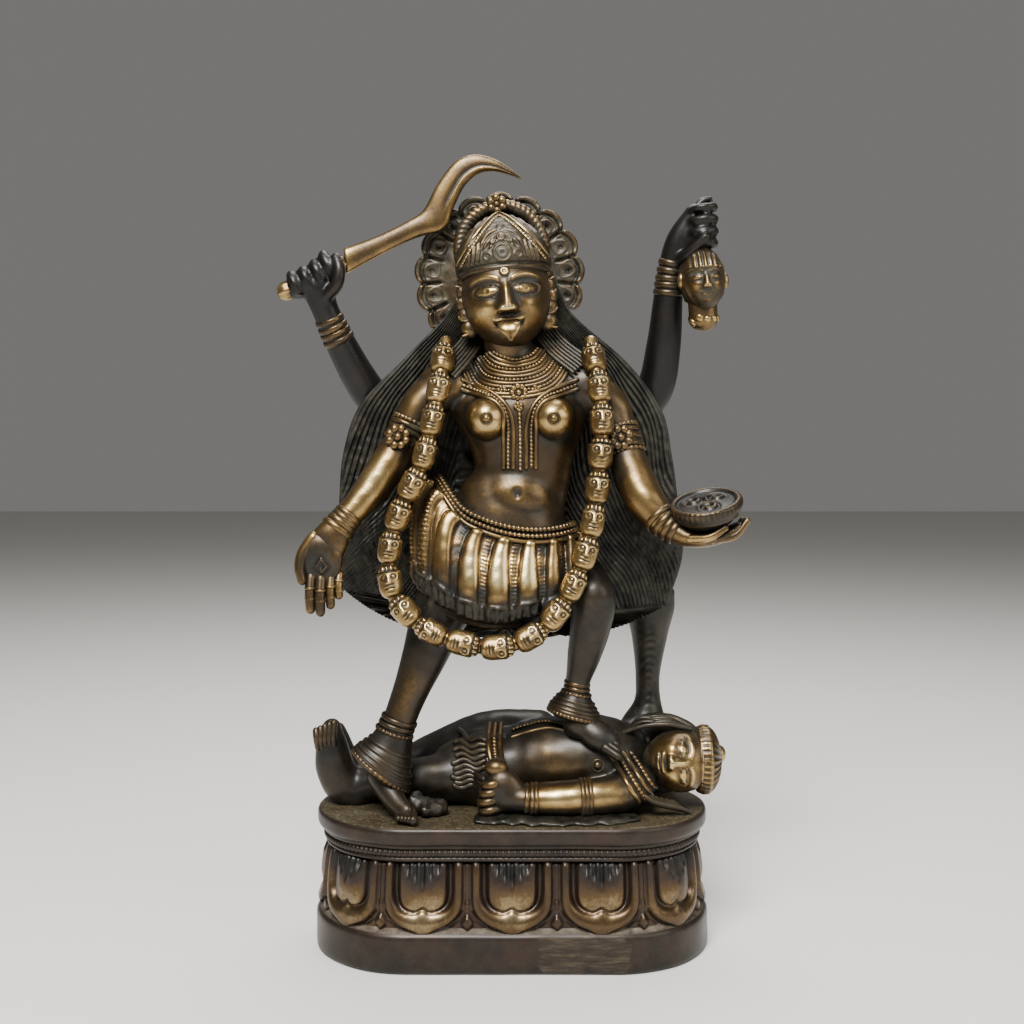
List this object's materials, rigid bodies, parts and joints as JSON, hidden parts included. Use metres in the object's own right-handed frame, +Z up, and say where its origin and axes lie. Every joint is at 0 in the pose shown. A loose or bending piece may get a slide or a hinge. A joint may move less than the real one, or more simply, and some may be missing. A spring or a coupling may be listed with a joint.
{
  "type": "kali figure",
  "caption": "Cast brass figure of a many-armed goddess with a raised sword, striding over a reclining god on an oval lotus plinth",
  "frame": {"origin": "centre of the plinth's flat underside", "axes": "+Z is up, the goddess faces -Y, and +X is to the right of a viewer in front of the figure"},
  "size_m": [0.1456, 0.0623, 0.2492],
  "materials": {
    "antique_brass": "satin, darkened with a polished brown-gold on the raised parts"
  },
  "bodies": {
    "root": {"kali_figure": "antique_brass"}
  },
  "joints": []
}
